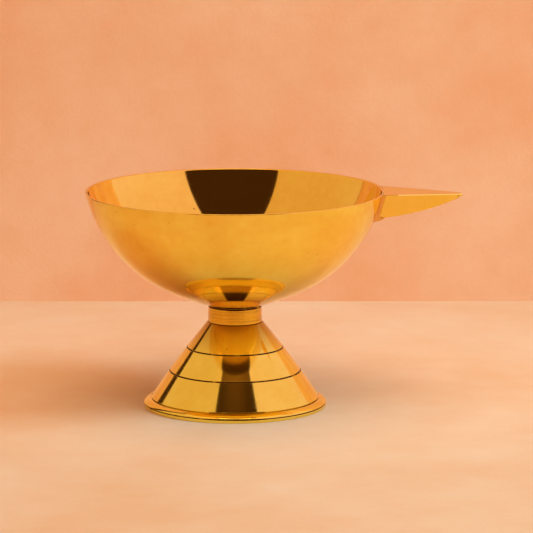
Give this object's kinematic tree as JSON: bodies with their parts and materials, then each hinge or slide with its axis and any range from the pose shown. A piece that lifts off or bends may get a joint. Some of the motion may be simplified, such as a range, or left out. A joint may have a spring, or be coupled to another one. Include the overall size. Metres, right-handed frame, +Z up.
{
  "type": "diya oil lamp",
  "caption": "Brass diya oil lamp: open round bowl with a flat leaf handle, turned collar and hollow three-tier pedestal. The bowl unscrews.",
  "frame": {"origin": "on the lamp's axis, at the level of the table that the foot ring rests on", "axes": "+Z up along the lamp's axis, +X towards the handle's tip, +Y to the back when the handle points right"},
  "size_m": [0.1133, 0.0898, 0.0655],
  "materials": {
    "polished_brass": "polished",
    "brushed_brass": "brushed",
    "cast_brass": "satin",
    "braze_metal": "satin",
    "machined_brass": "satin"
  },
  "bodies": {
    "base": {"pedestal": "polished_brass", "threaded_bush": "machined_brass", "foot_ring": "polished_brass"},
    "collar": {"neck_collar": "brushed_brass"},
    "bowl_body": {"bowl": "polished_brass", "handle": "cast_brass", "handle_braze": "braze_metal", "bowl_stud": "machined_brass"}
  },
  "joints": [
    {"name": "bowl_rise", "type": "slide", "parent": "base", "child": "collar", "axis": [0, 0, 1], "range_m": [0, 0.00875]},
    {"name": "bowl_unscrew", "type": "hinge", "parent": "collar", "child": "bowl_body", "pos_m": [0, 0, 0.03045], "axis": [0, 0, 1], "range_deg": [0, 2520]}
  ],
  "couplings": [
    {"joint": "bowl_rise", "follows": "bowl_unscrew", "m_per_rad": 0.00019894}
  ]
}
